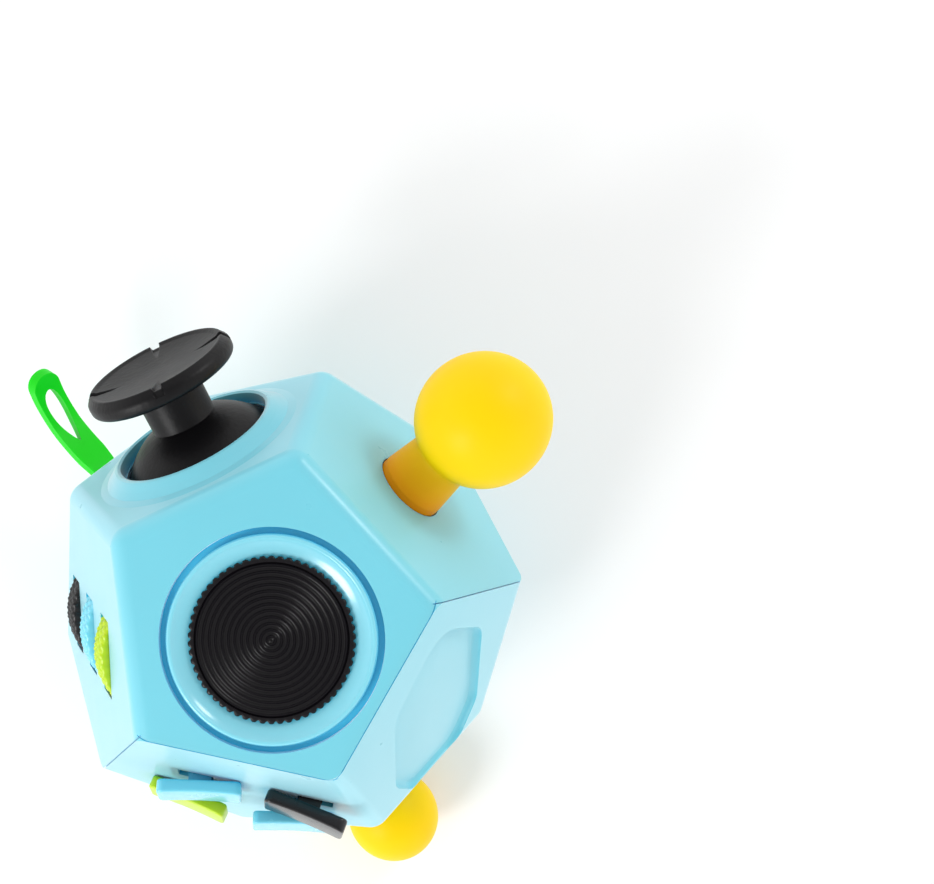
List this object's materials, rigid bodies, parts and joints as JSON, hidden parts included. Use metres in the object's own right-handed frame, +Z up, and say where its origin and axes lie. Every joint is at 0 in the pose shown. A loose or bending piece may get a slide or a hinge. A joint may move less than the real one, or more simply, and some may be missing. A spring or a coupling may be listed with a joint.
{
  "type": "twelve-sided fidget cube",
  "caption": "Dodecahedral hand fidget toy: spinning dial, tilting thumb stick, thumb wheels, rockers, bendable silicone balls, a pull loop, buttons, a slider and a roller ball.",
  "frame": {"origin": "centre of the plain face on which the cube rests, opposite the dial face", "axes": "+Z up, along the outward normal of the dial face and the dial's spindle; the thumb-stick face looks towards +Y and up"},
  "size_m": [0.0825, 0.104, 0.0604],
  "materials": {
    "cyan_abs": "satin moulded ABS, light cyan",
    "black_abs": "fine satin black ABS",
    "blue_abs": "satin moulded ABS, pale blue",
    "lime_abs": "satin moulded ABS, lime green",
    "yellow_silicone": "smooth yellow silicone",
    "green_silicone": "smooth bright green silicone",
    "white_nylon": "moulded nylon",
    "clear_silicone": "translucent pale silicone",
    "steel": "plated steel",
    "polished_steel": "polished steel"
  },
  "bodies": {
    "shell": {"upper_shell": "cyan_abs", "lower_shell": "cyan_abs", "small_screws": "steel", "dial_bezel": "cyan_abs", "stick_plate": "white_nylon", "stick_boot": "clear_silicone", "wheel_axle": "steel", "wheel_spacers": "white_nylon", "wheel_brackets": "white_nylon", "rocker_frame": "white_nylon", "rocker_pins": "steel", "button_plate": "white_nylon", "button_dome_1": "clear_silicone", "button_dome_2": "clear_silicone", "button_dome_3": "clear_silicone", "roller_cup": "white_nylon"},
    "dial": {"dial_disc": "black_abs", "dial_washer": "steel", "dial_screw": "steel"},
    "gimbal": {"stick_gimbal": "white_nylon"},
    "stick": {"stick_dome": "black_abs", "stick_cap": "black_abs", "stick_cross_pin": "steel"},
    "wheel_black": {"wheel_black": "black_abs"},
    "wheel_blue": {"wheel_blue": "blue_abs"},
    "wheel_lime": {"wheel_lime": "lime_abs"},
    "rocker_blue_upper": {"rocker_blue_upper": "blue_abs"},
    "rocker_lime": {"rocker_lime": "lime_abs"},
    "rocker_black": {"rocker_black": "black_abs"},
    "rocker_blue_lower": {"rocker_blue_lower": "blue_abs"},
    "upper_ball": {"upper_ball": "yellow_silicone"},
    "lower_ball": {"lower_ball": "yellow_silicone"},
    "pull_loop": {"pull_loop": "green_silicone"},
    "click_button_1": {"click_button_1": "lime_abs"},
    "click_button_2": {"click_button_2": "blue_abs"},
    "click_button_3": {"click_button_3": "black_abs"},
    "slider": {"slider_puck": "blue_abs", "slider_keeper": "white_nylon", "slider_screw": "steel"},
    "roller_ball": {"roller_ball": "polished_steel"}
  },
  "joints": [
    {"name": "dial_spin", "type": "hinge", "parent": "shell", "child": "dial", "pos_m": [0, -0.0025, 0.06], "axis": [0, 0, 1], "continuous": true},
    {"name": "stick_tilt_side", "type": "hinge", "parent": "shell", "child": "gimbal", "pos_m": [0, 0.01887, 0.03944], "axis": [0, -0.4472, 0.8944], "range_deg": [-15, 15], "stiffness_Nm_per_rad": 0.02},
    {"name": "stick_tilt_fore", "type": "hinge", "parent": "gimbal", "child": "stick", "pos_m": [0, 0.01887, 0.03944], "axis": [-1, 0, 0], "range_deg": [-15, 15], "stiffness_Nm_per_rad": 0.02, "deforming": ["stick_boot"]},
    {"name": "wheel_black_spin", "type": "hinge", "parent": "shell", "child": "wheel_black", "pos_m": [-0.02143, 0.00942, 0.02927], "axis": [0.309, -0.4253, 0.8507], "continuous": true},
    {"name": "wheel_blue_spin", "type": "hinge", "parent": "shell", "child": "wheel_blue", "pos_m": [-0.01867, 0.00563, 0.03684], "axis": [0.309, -0.4253, 0.8507], "continuous": true},
    {"name": "wheel_lime_spin", "type": "hinge", "parent": "shell", "child": "wheel_lime", "pos_m": [-0.01592, 0.00185, 0.04441], "axis": [0.309, -0.4253, 0.8507], "continuous": true},
    {"name": "rocker_blue_upper_rock", "type": "hinge", "parent": "shell", "child": "rocker_blue_upper", "pos_m": [-0.01779, -0.01377, 0.04494], "axis": [0.2629, 0.3618, 0.8944], "range_deg": [-20, 0]},
    {"name": "rocker_lime_rock", "type": "hinge", "parent": "shell", "child": "rocker_lime", "pos_m": [-0.01995, -0.01674, 0.0376], "axis": [0.2629, 0.3618, 0.8944], "range_deg": [0, 20]},
    {"name": "rocker_black_rock", "type": "hinge", "parent": "shell", "child": "rocker_black", "pos_m": [-0.00355, -0.02412, 0.04494], "axis": [0.2629, 0.3618, 0.8944], "range_deg": [0, 20]},
    {"name": "rocker_blue_lower_rock", "type": "hinge", "parent": "shell", "child": "rocker_blue_lower", "pos_m": [-0.0087, -0.02491, 0.0376], "axis": [0.2629, 0.3618, 0.8944], "range_deg": [-20, 0]},
    {"name": "upper_ball_bend", "type": "hinge", "parent": "shell", "child": "upper_ball", "pos_m": [0.02552, 0.00829, 0.04342], "axis": [-0.4253, 0.8618, 0.2764], "range_deg": [-15, 15], "stiffness_Nm_per_rad": 0.05},
    {"name": "lower_ball_bend", "type": "hinge", "parent": "shell", "child": "lower_ball", "pos_m": [0, -0.02683, 0.01658], "axis": [-1, 0, 0], "range_deg": [-12, 12], "stiffness_Nm_per_rad": 0.05},
    {"name": "pull_loop_bend", "type": "hinge", "parent": "shell", "child": "pull_loop", "pos_m": [-0.01519, 0.02091, 0.01708], "axis": [-0.809, -0.2629, 0.5257], "range_deg": [-10, 10], "stiffness_Nm_per_rad": 0.01},
    {"name": "click_button_1_press", "type": "slide", "parent": "shell", "child": "click_button_1", "axis": [0.5257, 0.7236, -0.4472], "range_m": [-0.0012, 0], "stiffness_N_per_m": 300, "deforming": ["button_dome_1"]},
    {"name": "click_button_2_press", "type": "slide", "parent": "shell", "child": "click_button_2", "axis": [0.5257, 0.7236, -0.4472], "range_m": [-0.0012, 0], "stiffness_N_per_m": 300, "deforming": ["button_dome_2"]},
    {"name": "click_button_3_press", "type": "slide", "parent": "shell", "child": "click_button_3", "axis": [0.5257, 0.7236, -0.4472], "range_m": [-0.0012, 0], "stiffness_N_per_m": 300, "deforming": ["button_dome_3"]},
    {"name": "slider_slide", "type": "slide", "parent": "shell", "child": "slider", "axis": [-0.309, -0.9511, 0], "range_m": [-0.0049, 0.0049]},
    {"name": "roller_ball_roll", "type": "hinge", "parent": "shell", "child": "roller_ball", "pos_m": [-0.02305, -0.00749, 0.01788], "axis": [-0.309, 0.9511, 0], "continuous": true}
  ]
}
